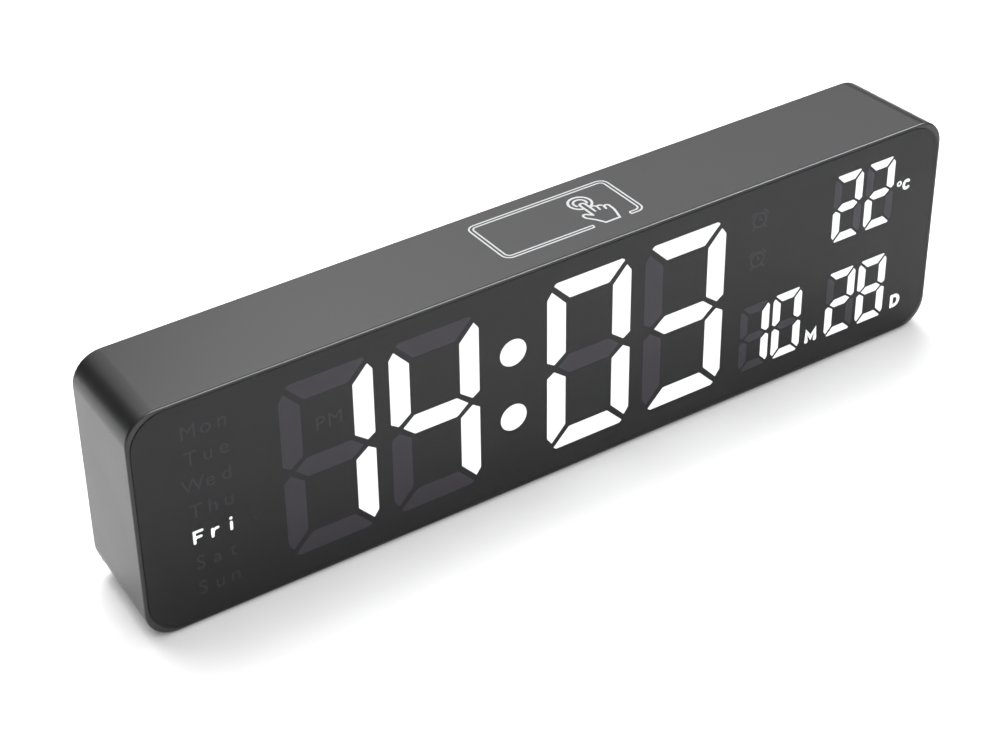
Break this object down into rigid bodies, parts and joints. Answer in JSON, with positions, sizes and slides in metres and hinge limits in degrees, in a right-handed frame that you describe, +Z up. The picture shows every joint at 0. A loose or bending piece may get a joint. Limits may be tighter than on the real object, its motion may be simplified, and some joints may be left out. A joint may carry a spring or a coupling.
{
  "type": "digital alarm clock",
  "caption": "Long low digital LED alarm clock: rounded black case with a smoked front lens, touch bar on top, rear buttons, power socket and battery door.",
  "frame": {"origin": "on the surface that the clock stands on, under the middle of its bounding box", "axes": "+X along the clock, to the right as seen from the front; the display faces -Y; +Z up"},
  "size_m": [0.31, 0.04, 0.0848],
  "materials": {
    "case_plastic": "fine satin texture, black",
    "smoked_lens": "polished smoked acrylic",
    "foam_tape": "matte foam",
    "mask_film": "dark tinted film",
    "white_plastic": "satin white",
    "circuit_board": "green solder mask",
    "black_resin": "moulded black resin",
    "nickel": "nickel plated",
    "copper": "bare copper",
    "screw_steel": "black plated steel",
    "button_rubber": "soft matte black",
    "foot_rubber": "matte black",
    "cell_jacket": "printed plastic sleeve over a steel can",
    "cable_jacket": "grey",
    "red_wire": "red insulation",
    "black_wire": "black insulation"
  },
  "bodies": {
    "case": {"battery_1": "cell_jacket", "battery_2": "cell_jacket", "battery_3": "cell_jacket", "battery_contact_link_left": "nickel", "battery_contact_link_right": "nickel", "battery_contact_negative": "nickel", "battery_contact_positive": "nickel", "battery_lead_negative": "black_wire", "battery_lead_positive": "red_wire", "battery_spring_1": "nickel", "battery_spring_2": "nickel", "battery_spring_3": "nickel", "board_screw_1": "screw_steel", "board_screw_2": "screw_steel", "board_screw_3": "screw_steel", "board_screw_4": "screw_steel", "buzzer": "black_resin", "clock_crystal": "nickel", "control_board": "circuit_board", "control_header": "white_plastic", "controller_chip": "black_resin", "cover_screw_1": "screw_steel", "cover_screw_2": "screw_steel", "cover_screw_3": "screw_steel", "cover_screw_4": "screw_steel", "cover_screw_5": "screw_steel", "cover_screw_6": "screw_steel", "display_board": "circuit_board", "display_header": "white_plastic", "down_switch": "black_resin", "foot_front_left": "foot_rubber", "foot_front_right": "foot_rubber", "foot_rear_left": "foot_rubber", "foot_rear_right": "foot_rubber", "front_lens": "smoked_lens", "housing": "case_plastic", "lens_tape": "foam_tape", "light_box": "white_plastic", "mode_switch": "black_resin", "rear_cover": "case_plastic", "ribbon_cable": "cable_jacket", "segment_film": "mask_film", "set_switch": "black_resin", "supply_capacitor": "black_resin", "temperature_sensor": "black_resin", "touch_lead": "black_wire", "touch_plate": "copper", "up_switch": "black_resin", "usb_socket": "nickel"},
    "mode_key": {"mode_button": "button_rubber", "mode_switch_plunger": "white_plastic"},
    "set_key": {"set_button": "button_rubber", "set_switch_plunger": "white_plastic"},
    "up_key": {"up_button": "button_rubber", "up_switch_plunger": "white_plastic"},
    "down_key": {"down_button": "button_rubber", "down_switch_plunger": "white_plastic"},
    "door": {"battery_door": "case_plastic"}
  },
  "joints": [
    {"name": "mode_press", "type": "slide", "parent": "case", "child": "mode_key", "axis": [0, -1, 0], "range_m": [0, 0.0005], "stiffness_N_per_m": 1500},
    {"name": "set_press", "type": "slide", "parent": "case", "child": "set_key", "axis": [0, -1, 0], "range_m": [0, 0.0005], "stiffness_N_per_m": 1500},
    {"name": "up_press", "type": "slide", "parent": "case", "child": "up_key", "axis": [0, -1, 0], "range_m": [0, 0.0005], "stiffness_N_per_m": 1500},
    {"name": "down_press", "type": "slide", "parent": "case", "child": "down_key", "axis": [0, -1, 0], "range_m": [0, 0.0005], "stiffness_N_per_m": 1500},
    {"name": "door_lift", "type": "slide", "parent": "case", "child": "door", "axis": [0, 1, 0], "range_m": [0, 0.03]}
  ]
}
